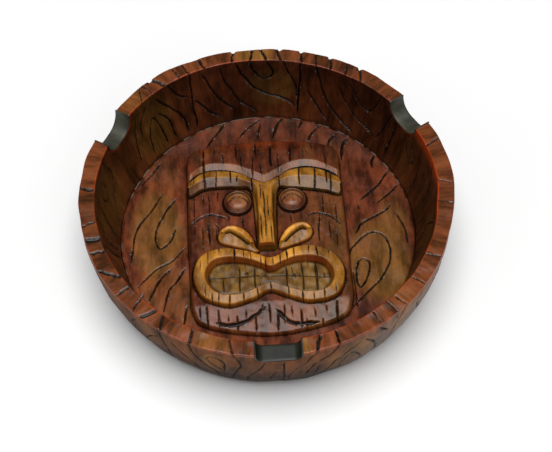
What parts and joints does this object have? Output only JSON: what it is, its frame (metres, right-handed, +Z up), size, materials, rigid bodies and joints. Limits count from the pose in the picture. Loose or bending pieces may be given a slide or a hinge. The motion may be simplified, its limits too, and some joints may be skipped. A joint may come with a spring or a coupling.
{
  "type": "carved mask bowl",
  "caption": "Round shallow bowl with a carved mask on its floor and lined rests cut across its rim.",
  "frame": {"origin": "centre of the underside, on the surface that the bowl stands on", "axes": "+Z up out of the bowl; -Y towards the front rest, at the mask's chin; +X to the right of a viewer who faces the mask"},
  "size_m": [0.151, 0.1509, 0.04],
  "materials": {
    "red_wood": "stained red-brown, glossy varnish, dark carved grain lines",
    "amber_wood": "amber stain with orange edges, glossy varnish",
    "eye_wood": "light brown stain, glossy varnish",
    "teeth_wood": "olive gold stain, satin varnish",
    "rest_lining": "dark grey, soft satin",
    "base_felt": "dark felt"
  },
  "bodies": {
    "root": {"bowl_wall": "red_wood", "bowl_floor": "red_wood", "face_panel": "red_wood", "brow_and_nose": "amber_wood", "left_eye": "eye_wood", "right_eye": "eye_wood", "left_nostril": "amber_wood", "right_nostril": "amber_wood", "lip_ring": "amber_wood", "teeth_plate": "teeth_wood", "front_rest_liner": "rest_lining", "right_rest_liner": "rest_lining", "left_rest_liner": "rest_lining", "base_pad": "base_felt"}
  },
  "joints": []
}
